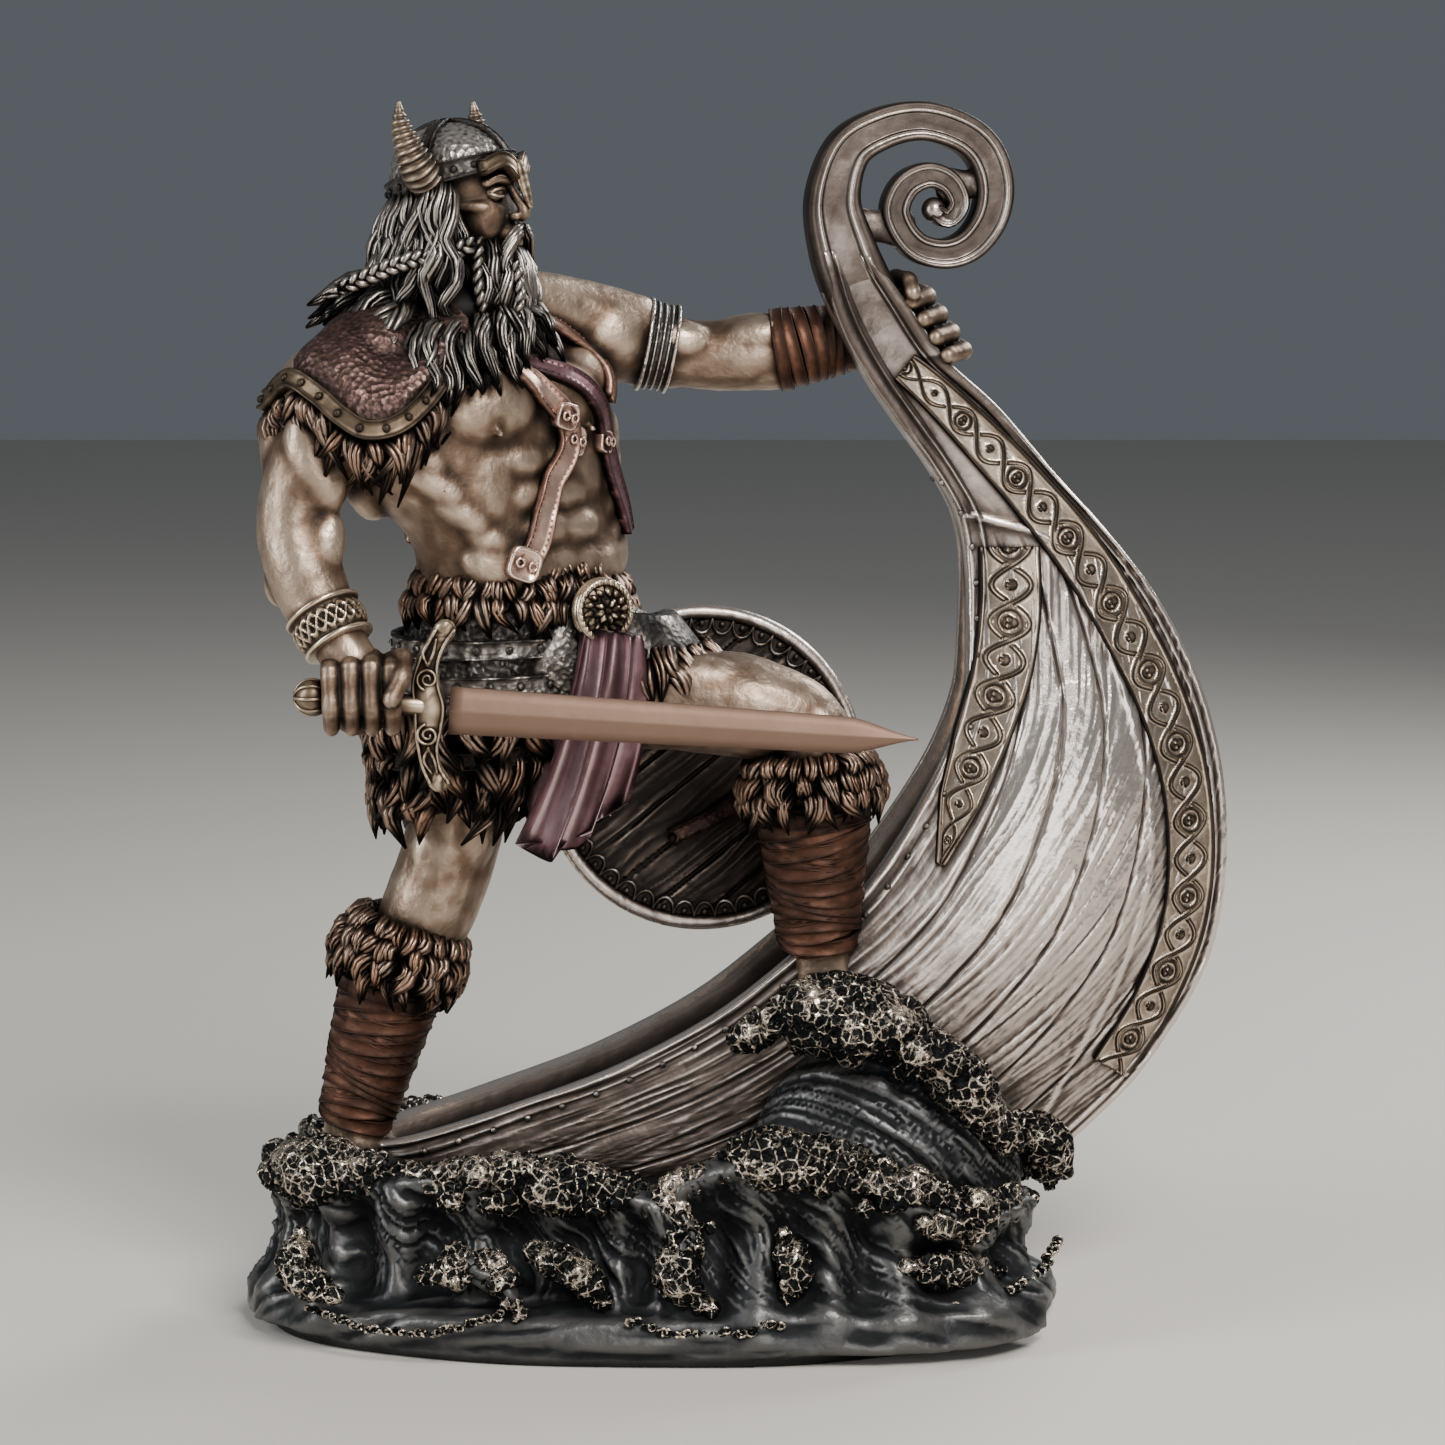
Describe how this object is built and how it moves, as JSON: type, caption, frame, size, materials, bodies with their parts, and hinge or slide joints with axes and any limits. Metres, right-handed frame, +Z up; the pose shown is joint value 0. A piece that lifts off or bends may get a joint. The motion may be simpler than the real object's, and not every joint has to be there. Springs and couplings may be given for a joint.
{
  "type": "viking warrior statue",
  "caption": "Bronze-finish statue of a horned viking with sword and round shield, one foot in a longship prow that rises from a breaking sea.",
  "frame": {"origin": "centre of the sea base's flat underside", "axes": "+Z up, +X towards the bow as seen from the statue's front, +Y away from the viewer"},
  "size_m": [0.2386, 0.1097, 0.2919],
  "materials": {
    "antique_bronze": "cold-cast bronze with dark wash in the hollows and pale worn edges",
    "pale_copper": "matt pale copper, smooth"
  },
  "bodies": {
    "root": {"viking_on_prow": "antique_bronze", "sword_blade": "pale_copper"}
  },
  "joints": []
}
